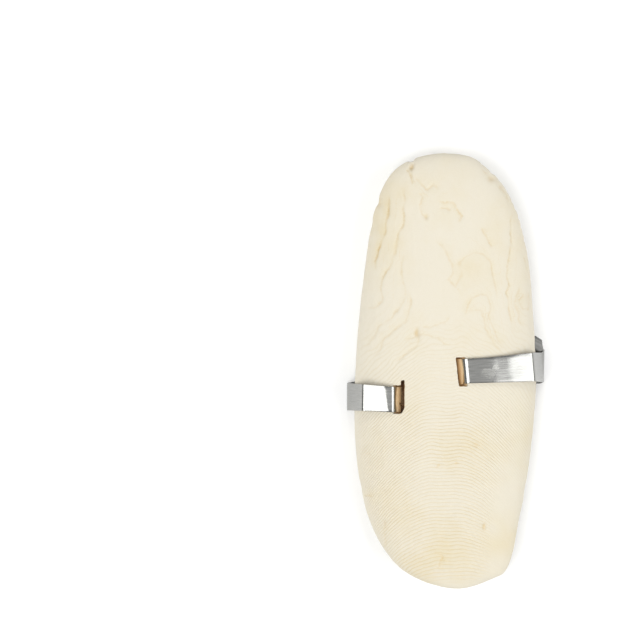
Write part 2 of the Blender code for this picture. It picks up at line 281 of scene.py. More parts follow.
# Points and growth values of the whole skin, ring by ring
def boneSurface():
    form = boneForm
    turn = np.concatenate((
        evenTurns(form["chalkRoundness"], form["chalkHeight"], 0, math.pi, form["chalkColumns"]),
        evenTurns(form["backRoundness"], form["backHeight"], math.pi, math.tau, form["backColumns"]),
    ))[None, :]
    ring = ringLatitudes()[:, None]
    chalk = np.arange(turn.shape[1])[None, :] < form["chalkColumns"]
    power = np.where(chalk, 2 / form["chalkRoundness"], 2 / form["backRoundness"])
    across = np.sign(np.cos(turn)) * np.abs(np.cos(turn)) ** power
    flank = np.maximum(0, np.abs(across) - form["archFlatShare"]) / (1 - form["archFlatShare"])
    dip = form["middleDip"] * np.exp(-((across / form["dipWidth"]) ** 2))
    latitude = ring + np.sin(ring) ** 1.2 * (form["archTurn"] * flank ** form["archPower"] + dip)
    left, right, rise, drop = sectionAt(latitude)
    x = (left + right) / 2 + across * (right - left) / 2
    y = form["halfLength"] * np.cos(latitude)
    height = np.abs(np.sin(turn)) ** power
    rim = form["rimHeight"] + form["rimArch"] * (y / form["halfLength"]) ** 2
    z = rim + np.where(chalk, rise, -drop) * height
    growth = form["halfLength"] * np.cos(ring)
    face = chalk & (height > 0)
    return np.broadcast_arrays(x, y, z, across, growth, face, height)


# Distance to a path, the side that a point is on and how far along it is
def pathDistance(x, y, path):
    nearest = np.full(x.shape, 1e9)
    side, along = np.zeros(x.shape), np.zeros(x.shape)
    lengths = [math.dist(a, b) for a, b in zip(path, path[1:])]
    done = 0.0
    for (ax, ay), (bx, by), length in zip(path, path[1:], lengths):
        dx, dy = bx - ax, by - ay
        t = np.clip(((x - ax) * dx + (y - ay) * dy) / length ** 2, 0, 1)
        ex, ey = x - ax - t * dx, y - ay - t * dy
        distance = np.hypot(ex, ey)
        closer = distance < nearest
        side = np.where(closer, np.sign(dx * ey - dy * ex), side)
        along = np.where(closer, (done + t * length) / sum(lengths), along)
        nearest = np.minimum(nearest, distance)
        done += length
    return nearest, side, along


# Relief in millimetres, stain, warm tint and nearest worn edge of every point
def wearOnBone(x, y, across, face, height):
    def bent(value, seed):
        return value + 0.34 * ripple(x, y, 5.0, seed) + 0.12 * ripple(x, y, 1.6, seed + 1)

    wear = boneWear
    relief, stain, warm = np.zeros(x.shape), np.zeros(x.shape), np.zeros(x.shape)
    noEdge = 6.0             # further from any edge than its painted shade reaches
    edgeSide, edgeTone = np.full(x.shape, noEdge), np.zeros(x.shape)
    bentX, bentY = bent(x, 11), bent(y, 13)
    uneven = np.clip(0.7 + 0.3 * ripple(x, y, 4.0, 15) + 0.3 * ripple(x, y, 1.7, 20), 0.1, 1.3)
    top = face & (height > 0.12)
    for path, depth, width, step, colour in wear["contours"]:
        low, high = np.min(path, axis=0) - 4, np.max(path, axis=0) + 4
        near = top & (x > low[0]) & (x < high[0]) & (y > low[1]) & (y < high[1])
        distance, side, along = pathDistance(bentX[near], bentY[near], path)
        tapered = ease(0, 0.12, along) * ease(1, 0.86, along) * uneven[near]
        lower = side * distance * np.sign(step or 1)
        lowSide = 0.5 * (1 + np.tanh(lower / 0.22))
        relief[near] -= tapered * depth * np.exp(-((distance / width) ** 2))
        relief[near] -= tapered * abs(step) * lowSide * np.exp(-distance / 1.3)
        closer = distance < np.abs(edgeSide[near])
        edgeSide[near] = np.where(closer, lower, edgeSide[near])
        edgeTone[near] = np.where(closer, tapered * colour, edgeTone[near])
    for px, py, length, width, depth, colour in wear["pits"]:
        reach = ((bentX - px) / (width / 2)) ** 2 + ((bentY - py) / (length / 2)) ** 2
        bowl = np.where(top, np.exp(-reach ** 1.3), 0)
        relief -= depth * bowl
        stain = np.maximum(stain, colour * bowl)
    furrow = wear["furrow"]
    along = ease(-66, -50, y) * ease(10, -12, y)
    hollow = furrow["depth"] * along * np.exp(-(((x - furrow["x"]) / furrow["reach"]) ** 2))
    relief -= np.where(face, hollow, 0)
    for px, py, reach, depth in wear["chips"]:
        bite = np.exp(-(((bentX - px) ** 2 + (bentY - py) ** 2) / reach ** 2) ** 1.2)
        relief -= depth * bite
        stain = np.maximum(stain, 0.35 * bite * (depth > 0.3))
    crumbled = wear["crumbledRim"]
    rimShare = (1 - height) ** 3 * ease(crumbled["from"], crumbled["to"], y) * ease(4, 12, x)
    relief -= rimShare * crumbled["depth"] * np.clip(ripple(x, y, crumbled["grain"], 21), 0, 1.5)
    chalkUnevenness = 0.05 * ripple(x, y, 9.0, 16) + 0.025 * ripple(x, y, 3.2, 17)
    relief += np.where(face, chalkUnevenness, 0.03 * ripple(x, y, 7.0, 18))
    ribs = wear["backRibs"]
    onBack = np.where(face, 0, height)
    for centre in ribs["centres"]:
        rib = np.exp(-(((across - centre) / ribs["width"]) ** 2))
        relief += onBack * ribs["height"] * rib * ease(-62, -30, y)
    for px, py, reachX, reachY, strength in wear["patches"]:
        blot = np.exp(-((bentX - px) / reachX) ** 2 - ((bentY - py) / reachY) ** 2)
        blot *= np.clip(0.8 + 0.35 * ripple(x, y, 7.0, 19), 0, 1.2)
        warm = np.maximum(warm, strength * 0.7 * blot * face)
    return {
        "relief": relief, "stain": np.clip(stain, 0, 1), "warm": np.clip(warm, 0, 1),
        "edgeSide": edgeSide, "edgeTone": edgeTone,
    }


ridgeRule = {
    "spacing": 1.15,         # millimetres between ridges on the striped half
    "tailExtra": 0.12,       # added near the tail
    "middleExtra": 0.6,      # where the smooth half starts
    "frontExtra": 3.6,       # and towards the front tip
    "countStep": 0.25,
    "flankClimb": 0.62,      # how much steeper the ridges climb both flanks of the smooth half
}


# Which ridge a point is on, how strongly it's ridged and how far its ridges wander
def ridgeFields(y, across, growth, face, height):
    rule = ridgeRule
    station = np.arange(-72.0, 74.0, rule["countStep"])
    spacing = rule["spacing"] + rule["tailExtra"] * ease(-30, -62, station)
    spacing += rule["middleExtra"] * ease(4, 16, station)
    spacing += rule["frontExtra"] * ease(12, 52, station)
    count = np.cumsum(rule["countStep"] / spacing)
    steeper = np.clip(y - 6, 0, None) * rule["flankClimb"] * np.abs(across) ** 1.5
    ridge = np.interp(growth + steeper, station, count)
    # the striped face fades to smooth on the right flank low down and at both rims
    edge = ease(0.16, 0.52, height) * face
    lowRight = 1 - 0.8 * ease(0.45, 0.7, across) * ease(-20, -42, y)
    lowRight *= 1 - 0.4 * ease(0.6, 0.85, across) * ease(8, -20, y)
    tail = ease(-69, -64, y)
    upper = 1 - 0.95 * ease(2, 22, y)
    upper *= 1 - 0.5 * ease(-14, -4, y) * ease(26, 12, y)
    ridged = edge * lowRight * tail * upper
    wander = 0.3 + 0.34 * ease(-22, 6, y) + 0.5 * ease(4, 30, y)
    return ridge, ridged, wander


ridgeLook = {
    "Ridge Depth": 0.2,      # millimetres from a ridge's crest to its foot
    "Tread Share": 0.66,     # of a ridge's spacing that the gentle side takes
    "Wave Length": 5.5,      # of the ridges' wandering
    "Grain Height": 0.05,
    "Grain Size": 0.9,
    "Patchiness": 0.25,      # how much fainter the faintest ridges are
}
ridgeSeed = 4


# Geometry nodes: stepped growth ridges, chalk grain and the cut relief along the skin's normal
def ridgeTree(material):
    tree = bpy.data.node_groups.new("growthRidges", "GeometryNodeTree")
    face = tree.interface
    face.new_socket("Geometry", in_out="OUTPUT", socket_type="NodeSocketGeometry")
    face.new_socket("Geometry", in_out="INPUT", socket_type="NodeSocketGeometry")
    for name, value in ridgeLook.items():
        face.new_socket(name, in_out="INPUT", socket_type="NodeSocketFloat").default_value = value
    face.new_socket("Seed", in_out="INPUT", socket_type="NodeSocketInt").default_value = ridgeSeed
    face.new_socket("Finish", in_out="INPUT", socket_type="NodeSocketMaterial").default_value = material
    given = tree.nodes.new("NodeGroupInput").outputs

    def field(name):
        named = addNode(tree, "GeometryNodeInputNamedAttribute", {"Name": name}, data_type="FLOAT")
        return named.outputs["Attribute"]

    def noise(scale, seedShift, detail):
        seed = calc(tree, "ADD", given["Seed"], seedShift)
        inputs = {"Vector": place, "W": seed, "Scale": scale, "Detail": detail, "Roughness": 0.55}
        return addNode(tree, "ShaderNodeTexNoise", inputs, noise_dimensions="4D").outputs[0]

    def scaled(vector, factor):
        inputs = {0: vector, "Scale": factor}
        return addNode(tree, "ShaderNodeVectorMath", inputs, operation="SCALE").outputs[0]

    place = scaled(tree.nodes.new("GeometryNodeInputPosition").outputs[0], 1000.0)
    waves = calc(tree, "SUBTRACT", noise(calc(tree, "DIVIDE", 1.0, given["Wave Length"]), 0.0, 3.0), 0.5)
    shake = calc(tree, "MULTIPLY", waves, calc(tree, "MULTIPLY", field("wander"), 5.0))
    ridge = calc(tree, "ADD", field("ridge"), shake)
    part = calc(tree, "FRACT", ridge)
    tread = calc(tree, "DIVIDE", part, given["Tread Share"])
    riserShare = calc(tree, "SUBTRACT", 1.0, given["Tread Share"])
    riser = calc(tree, "DIVIDE", calc(tree, "SUBTRACT", 1.0, part), riserShare)
    profile = spread(tree, calc(tree, "MINIMUM", tread, riser), 0.0, 1.0)
    fainter = calc(tree, "MULTIPLY", spread(tree, noise(0.16, 3.0, 2.0), 0.6, 0.36), given["Patchiness"])
    strength = calc(tree, "MULTIPLY", field("ridged"), calc(tree, "SUBTRACT", 1.0, fainter))
    depth = calc(tree, "MULTIPLY", strength, given["Ridge Depth"])
    steps = calc(tree, "MULTIPLY", calc(tree, "SUBTRACT", profile, 1.0), depth)
    grainNoise = calc(tree, "SUBTRACT", noise(calc(tree, "DIVIDE", 1.0, given["Grain Size"]), 6.0, 2.0), 0.5)
    grain = calc(tree, "MULTIPLY", grainNoise, given["Grain Height"])
    relief = calc(tree, "ADD", calc(tree, "ADD", steps, grain), field("relief"))
    normal = tree.nodes.new("GeometryNodeInputNormal").outputs[0]
    offset = scaled(normal, calc(tree, "MULTIPLY", relief, mm))
    shape = given["Geometry"]
    onPoints = {"data_type": "FLOAT", "domain": "POINT"}
    for name, value in (("lamella", ridge), ("lined", strength)):
        stored = {"Geometry": shape, "Name": name, "Value": value}
        shape = addNode(tree, "GeometryNodeStoreNamedAttribute", stored, **onPoints).outputs[0]
    shape = addNode(tree, "GeometryNodeSetPosition", {"Geometry": shape, "Offset": offset}).outputs[0]
    shape = addNode(tree, "GeometryNodeRealizeInstances", {"Geometry": shape}).outputs[0]
    dressed = {"Geometry": shape, "Material": given["Finish"]}
    shape = addNode(tree, "GeometryNodeSetMaterial", dressed).outputs[0]
    addNode(tree, "NodeGroupOutput", {"Geometry": shape})
    return tree


def useTree(piece, tree, values):
    modifier = piece.modifiers.new(tree.name, "NODES")
    modifier.node_group = tree
    for item in tree.interface.items_tree:
        if item.item_type == "SOCKET" and item.in_out == "INPUT" and item.name in values:
            modifier[item.identifier] = values[item.name]


# A closed skin from rings of points with one pole at each end
def closedSkin(name, points, rings, columns):
    index = np.arange(rings * columns).reshape(rings, columns)
    nextColumn = np.roll(index, -1, axis=1)
    quads = np.stack((index[:-1], index[1:], nextColumn[1:], nextColumn[:-1]), axis=-1).reshape(-1, 4)
    front, tail = rings * columns, rings * columns + 1
    faces = quads.tolist()
    faces += [(front, a, b) for a, b in zip(index[0].tolist(), nextColumn[0].tolist())]
    faces += [(tail, b, a) for a, b in zip(index[-1].tolist(), nextColumn[-1].tolist())]
    mesh = bpy.data.meshes.new(name)
    mesh.from_pydata((points * mm).tolist(), [], faces)
    bm = bmesh.new()
    bm.from_mesh(mesh)
    bmesh.ops.recalc_face_normals(bm, faces=bm.faces)
    bm.to_mesh(mesh)
    bm.free()
    mesh.shade_smooth()
    return mesh


# The slots that the claws have cut: height of the floor and of the open top, how strong the
# painted shade on the walls gets, and the outline's points as x at the top, x at the floor and y
clawSlots = {
    "leftSlot": (11.0, 16.6, 1.0, (
        (-19.95, -15.95, -11.85), (-15.6, -14.45, -11.85), (-14.0, -13.95, -10.2), (-13.9, -13.9, -1.0),
        (-15.4, -14.7, -1.0), (-15.5, -14.8, -2.65), (-19.95, -15.95, -2.65),
    )),
    "rightSlot": (12.5, 17.4, 0.15, (
        (7.15, 4.35, -3.1), (3.1, 3.05, -3.1), (2.0, 1.95, 6.25), (6.8, 3.35, 6.25),
    )),
}
slotEdges = {
    "step": 0.32,            # between points round the outline
    "levels": 18,
    "smoothing": 3,          # times that the outline's corners are rounded off
    "raggedness": 0.09,
    "lip": 0.6,              # how far below the smooth surface the broken wall starts
    "darkOver": (12.9, 11.5),  # heights between which painted shade darkens the walls
    "openFrom": (-15.7, -14.9),  # x past which the left slot lies open beside its claw and takes its full painted shade
}


def slotCutter(name, shiftX):
    floor, top, _, outline = clawSlots[name]
    corners = np.array(outline)
    points = []
    for start, end in zip(corners, np.roll(corners, -1, axis=0)):
        parts = math.ceil(math.hypot(end[0] - start[0], end[2] - start[2]) / slotEdges["step"])
        points += [start + (end - start) * k / parts for k in range(parts)]
    ring = np.array(points)
    for _ in range(slotEdges["smoothing"]):
        ring = (np.roll(ring, 1, axis=0) + 2 * ring + np.roll(ring, -1, axis=0)) / 4
    share = np.linspace(1, 0, slotEdges["levels"])[:, None]
    x = ring[:, 1] + (ring[:, 0] - ring[:, 1]) * share
    y = ring[:, 2] + 0 * x
    z = floor + (top - floor) * share + 0 * x
    seed = 31 if name == "leftSlot" else 41
    x = x + slotEdges["raggedness"] * ripple(y, z, 1.9, seed)
    y = y + slotEdges["raggedness"] * ripple(x, z, 1.6, seed + 1)
    mesh = bpy.data.meshes.new(name)
    bm = bmesh.new()
    places = (np.stack((x, y, z), axis=-1) * mm).tolist()
    rows = [[bm.verts.new(place) for place in row] for row in places]
    for upper, lower in zip(rows, rows[1:]):
        for k in range(len(ring)):
            bm.faces.new((upper[k - 1], upper[k], lower[k], lower[k - 1]))
    bm.faces.new(rows[0])
    bm.faces.new(rows[-1])
    bmesh.ops.recalc_face_normals(bm, faces=bm.faces)
    bm.to_mesh(mesh)
    bm.free()
    cutter = newPiece(name, mesh)
    cutter.location.x = shiftX * mm
    return cutter


# Marks the points below the bone's surface inside a slot, and how much painted shade each one gets
def markSlotWalls(bone, shiftX):
    place = np.zeros(3 * len(bone.data.vertices))
    bone.data.vertices.foreach_get("co", place)
    x, y, z = place.reshape(-1, 3).T / mm
    x = x - shiftX
    left, right, rise, _ = sectionAt(np.arccos(np.clip(y / boneForm["halfLength"], -1, 1)))
    across = np.clip(np.abs(x - (left + right) / 2) / ((right - left) / 2), 0, 1)
    rim = boneForm["rimHeight"] + boneForm["rimArch"] * (y / boneForm["halfLength"]) ** 2
    surface = rim + rise * (1 - across ** boneForm["chalkRoundness"]) ** (1 / boneForm["chalkRoundness"])
    wall, shade = np.zeros(x.size), np.zeros(x.size)
    for floor, _, paintedShadeStrength, outline in clawSlots.values():
        corners = np.array(outline)
        inX = (x > corners[:, :2].min() - 0.5) & (x < corners[:, :2].max() + 0.5)
        inY = (y > corners[:, 2].min() - 0.5) & (y < corners[:, 2].max() + 0.5)
        inside = inX & inY & (z > floor - 0.5) & (z < surface - slotEdges["lip"])
        wall[inside] = 1
        # painted shade: deeper points in a slot are coloured darker
        shade[inside] = paintedShadeStrength * ease(*slotEdges["darkOver"], z[inside])
        shade[inside] *= 0.2 + 0.8 * ease(*slotEdges["openFrom"], x[inside])
    for name, values in (("slotWall", wall), ("slotShade", shade)):
        bone.data.attributes.new(name, "FLOAT", "POINT").data.foreach_set("value", values)


def makeSkin(finish):
    x, y, z, across, growth, face, height = boneSurface()
    low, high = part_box("cuttlebone")
    shiftX = (low.x + high.x) / 2 / mm - (x.min() + x.max()) / 2
    fields = wearOnBone(x, y, across, face, height)
    ridge, ridged, wander = ridgeFields(y, across, growth, face, height)
    hardBack = np.where(face, ease(0.16, 0.0, height), 1.0)
    rings, columns = x.shape
    half = boneForm["halfLength"]
    rim = boneForm["rimHeight"] + boneForm["rimArch"]
    skin = np.stack((x + shiftX, y, z), axis=-1).reshape(-1, 3)
    poles = ((-1.0 + shiftX, half - 0.05, rim), (3.0 + shiftX, -half + 0.05, rim))
    mesh = closedSkin("cuttleboneSkin", np.concatenate((skin, poles)), rings, columns)
    fields.update({"hardBack": hardBack, "ridge": ridge, "ridged": ridged, "wander": wander})
    for name, values in fields.items():
        flat = np.concatenate((values.reshape(-1), (values[0, 0], values[-1, 0])))
        mesh.attributes.new(name, "FLOAT", "POINT").data.foreach_set("value", flat)
    bone = newPiece("cuttleboneSkin", mesh)
    useTree(bone, ridgeTree(finish), {**ridgeLook, "Seed": ridgeSeed})
    bakeModifiers(bone)
    print("bone skin:", len(bone.data.vertices), "points")
    return bone, shiftX


def cutSlots(bone, shiftX, finish):
    cutters = [slotCutter(name, shiftX) for name in clawSlots]
    for cutter in cutters:
        cutter.data.materials.append(finish)
        cut = bone.modifiers.new("cut", "BOOLEAN")
        cut.operation, cut.solver, cut.object = "DIFFERENCE", "EXACT", cutter
    bakeModifiers(bone)
    for cutter in cutters:
        bpy.data.objects.remove(cutter)
    markSlotWalls(bone, shiftX)
    for name in ("relief", "ridge", "ridged", "wander"):
        bone.data.attributes.remove(bone.data.attributes[name])
    bone.data.set_sharp_from_angle(angle=math.radians(50))


# The clip: corners from the left claw to the right one. x and y of the edge nearer the tail, of
# the edge nearer the front, the height, and how far the bend reaches to either side
clipForm = {
    "sheet": 0.45,
    "corners": (
        (-15.15, -11.5, -15.0, -3.6, 11.75, 0.0),
        (-17.75, -11.1, -17.75, -3.0, 14.85, 0.8),
        (-19.4, -11.0, -20.2, -2.75, 14.8, 0.5),
        (-27.35, -10.7, -27.15, -2.3, 13.7, 0.9),
        (-32.0, -12.7, -31.95, -3.75, 0.225, 1.1),
        (-27.0, -12.3, -27.0, -2.9, 0.225, 0.0),
        (24.0, -5.0, 24.0, 11.3, 0.225, 0.0),
        (29.2, -4.6, 28.9, 11.05, 0.225, 0.0),
        (30.6, -4.5, 31.2, 9.6, 0.225, 0.3),
        (31.15, -4.3, 31.55, 6.9, 0.225, 0.0),
        (31.6, -4.2, 31.75, 6.3, 0.225, 0.4),
        (31.1, -3.9, 30.6, 5.75, 2.1, 0.0),
        (27.35, -1.95, 26.55, 7.15, 12.7, 0.9),
        (20.2, -1.9, 19.8, 6.65, 14.3, 2.0),
        (13.2, -1.85, 12.8, 6.15, 15.65, 2.0),
        (5.7, -1.9, 5.1, 5.8, 16.25, 1.1),
        (3.75, -2.7, 2.65, 5.4, 13.3, 0.0),
    ),
    "bendSteps": 12,
    "longestStep": 1.6,
    "columns": 9,
    "edgeRound": 0.09,
    "dents": 0.012,
}


# Pairs of points on the sheet's two long edges, with every bend rounded off
def clipStations(shiftX):
    corners = [
        (Vector((a + shiftX, b, h)), Vector((c + shiftX, d, h)), reach)
        for a, b, c, d, h, reach in clipForm["corners"]
    ]
    stations = []
    for i, (tailEdge, frontEdge, reach) in enumerate(corners):
        if reach == 0:
            stations.append((tailEdge, frontEdge))
            continue
        ends = []
        for other in (corners[i - 1], corners[i + 1]):
            span = ((other[0] + other[1]) - (tailEdge + frontEdge)).length / 2
            share = min(0.48, reach / span)
            ends.append((tailEdge.lerp(other[0], share), frontEdge.lerp(other[1], share)))
        for k in range(clipForm["bendSteps"] + 1):
            f = k / clipForm["bendSteps"]
            into, corner, out = (1 - f) ** 2, 2 * f * (1 - f), f * f
            stations.append(tuple(
                into * ends[0][e] + corner * corners[i][e] + out * ends[1][e] for e in (0, 1)
            ))
    finer = [stations[0]]
    for a, b in zip(stations, stations[1:]):
        parts = max(1, math.ceil(((a[0] + a[1]) - (b[0] + b[1])).length / 2 / clipForm["longestStep"]))
        finer += [(a[0].lerp(b[0], k / parts), a[1].lerp(b[1], k / parts)) for k in range(1, parts + 1)]
    return finer


def makeClip(shiftX, finish):
    stations = clipStations(shiftX)
    columns = clipForm["columns"]
    points = np.array([[a.lerp(b, c / (columns - 1))[:] for c in range(columns)] for a, b in stations])
    rows = len(stations)
    middle = points.mean(axis=1)
    steps = np.linalg.norm(np.diff(middle, axis=0), axis=1)
    run = np.concatenate(((0,), np.cumsum(steps)))
    # hand-bent sheet is never quite flat; where it lies on the ground it stays flat
    flat = points[..., 2] < 0.3
    along = np.repeat(run[:, None], columns, axis=1)
    acrossSheet = np.repeat(np.linspace(0, 9, columns)[None, :], rows, axis=0)
    points[..., 2] += np.where(flat, 0, clipForm["dents"] * ripple(along, acrossSheet, 7.0, 51))
    bm = bmesh.new()
    grid = [[bm.verts.new(Vector(p) * mm) for p in row] for row in points]
    for a, b in zip(grid, grid[1:]):
        for c in range(columns - 1):
            bm.faces.new((a[c], b[c], b[c + 1], a[c + 1]))
    bmesh.ops.recalc_face_normals(bm, faces=bm.faces)
    mesh = bpy.data.meshes.new("bentClip")
    bm.to_mesh(mesh)
    bm.free()
    mesh.shade_smooth()
    mesh.attributes.new("alongStrip", "FLOAT", "POINT").data.foreach_set("value", along.reshape(-1))
    mesh.attributes.new("acrossStrip", "FLOAT", "POINT").data.foreach_set("value", acrossSheet.reshape(-1))
    mesh.materials.append(finish)
    clip = newPiece("bentClip", mesh)
    thick = clip.modifiers.new("sheet", "SOLIDIFY")
    thick.thickness, thick.offset, thick.use_even_offset = clipForm["sheet"] * mm, 0, True
    rounded = clip.modifiers.new("cut edges", "BEVEL")
    rounded.width, rounded.segments, rounded.limit_method = clipForm["edgeRound"] * mm, 2, "ANGLE"
    rounded.angle_limit = math.radians(50)
    bakeModifiers(clip)
    return clip


def groupNode(tree, group, inputs):
    return addNode(tree, "ShaderNodeGroup", inputs, node_tree=group).outputs


def makeGroup(name, inputs, outputs):
    group = bpy.data.node_groups.new(name, "ShaderNodeTree")
    for socketName, kind, value in inputs:
        socket = group.interface.new_socket(socketName, in_out="INPUT", socket_type="NodeSocket" + kind)
        if value is not None:
            socket.default_value = value
    for socketName, kind in outputs:
        group.interface.new_socket(socketName, in_out="OUTPUT", socket_type="NodeSocket" + kind)
    return group, group.nodes.new("NodeGroupInput").outputs


# Patchy white dust: how much lies at a point inside a given zone
def chalkDustGroup():
    group, given = makeGroup("chalkDust", (
        ("Zone", "Float", 1.0), ("Fleck Size", "Float", 0.8), ("Cover", "Float", 0.5), ("Seed", "Float", 0.0),
    ), (("Mask", "Float"), ("Height", "Float")))
    place = addNode(group, "ShaderNodeTexCoord").outputs["Object"]
    scale = calc(group, "DIVIDE", 1000.0, given["Fleck Size"])
    inputs = {"Vector": place, "W": given["Seed"], "Scale": scale, "Detail": 5.0, "Roughness": 0.65}
    flecks = addNode(group, "ShaderNodeTexNoise", inputs, noise_dimensions="4D").outputs[0]
    level = calc(group, "SUBTRACT", 1.0, calc(group, "MULTIPLY", given["Cover"], given["Zone"]))
    edge = calc(group, "SUBTRACT", flecks, calc(group, "MULTIPLY", level, 0.78))
    mask = calc(group, "MULTIPLY", spread(group, edge, 0.0, 0.14), given["Zone"], clamp=True)
    addNode(group, "NodeGroupOutput", {"Mask": mask, "Height": calc(group, "MULTIPLY", mask, flecks)})
    return group


# Cloudy variation at two sizes, centred on a half
def mottleGroup():
    group, given = makeGroup("mottle", (
        ("Size", "Float", 10.0), ("Contrast", "Float", 1.0), ("Seed", "Float", 0.0),
    ), (("Cloud", "Float"), ("Speck", "Float")))
    place = addNode(group, "ShaderNodeTexCoord").outputs["Object"]
    results = []
    for factor, detail in ((1.0, 4.0), (14.0, 3.0)):
        scale = calc(group, "DIVIDE", 1000.0 * factor, given["Size"])
        inputs = {"Vector": place, "W": given["Seed"], "Scale": scale, "Detail": detail, "Roughness": 0.6}
        noise = addNode(group, "ShaderNodeTexNoise", inputs, noise_dimensions="4D").outputs[0]
        centred = calc(group, "MULTIPLY", calc(group, "SUBTRACT", noise, 0.5), given["Contrast"])
        results.append(calc(group, "ADD", centred, 0.5, clamp=True))
    addNode(group, "NodeGroupOutput", {"Cloud": results[0], "Speck": results[1]})
    return group


def newFinish(name):
    material = bpy.data.materials.new(name)
    material.use_nodes = True
    return material, material.node_tree, material.node_tree.nodes["Principled BSDF"]


def mixColour(tree, share, first, second, blend="MIX"):
    node = addNode(tree, "ShaderNodeMix", {0: share}, data_type="RGBA", blend_type=blend)
    for socket, value in ((node.inputs[6], first), (node.inputs[7], second)):
        if isinstance(value, bpy.types.NodeSocket):
            tree.links.new(value, socket)
        else:
            socket.default_value = value
    return node.outputs[2]


boneFinish = {
    "chalk": (0.738, 0.687, 0.568, 1),
    "chalkWarm": (0.71, 0.615, 0.405, 1),
    "powder": (0.83, 0.797, 0.70, 1),
    # the ridge lines' tan, which also paints the shade on each ridge's steep riser
    "line": (0.64, 0.52, 0.29, 1),
    "stain": (0.63, 0.46, 0.21, 1),
    "hardBack": (0.74, 0.71, 0.605, 1),
    "granule": (0.84, 0.82, 0.75, 1),
    "slotTan": (0.72, 0.52, 0.29, 1),
    # painted shade deep in the slots
    "slotShadeColour": (0.085, 0.033, 0.011, 1),
    "lineStrength": 0.5,
    "stainStrength": 0.62,
    "edgeWidth": 0.48,       # millimetres from the middle of a worn edge's line to its fade
    "edgePaintedShadeReach": 2.3,    # how far the painted shade, a warm tint, runs down from the edge
    # how strong the painted shade below worn edges is
    "edgePaintedShade": 0.6,
    "patchTint": 0.75,
    "cloudTint": 0.3,
    "powderCover": 0.16,
    "hairLine": 0.18,        # the two fine lines between ridges, beside the ridge's own
    "backArcs": 0.25,
    "backGranules": 0.3,
    "granulesPerMetre": 1300.0,
    "backGloss": 0.32,       # how much less rough the hard back is
    "roughness": (0.82, 0.97),
    "grainBump": 0.35,
}


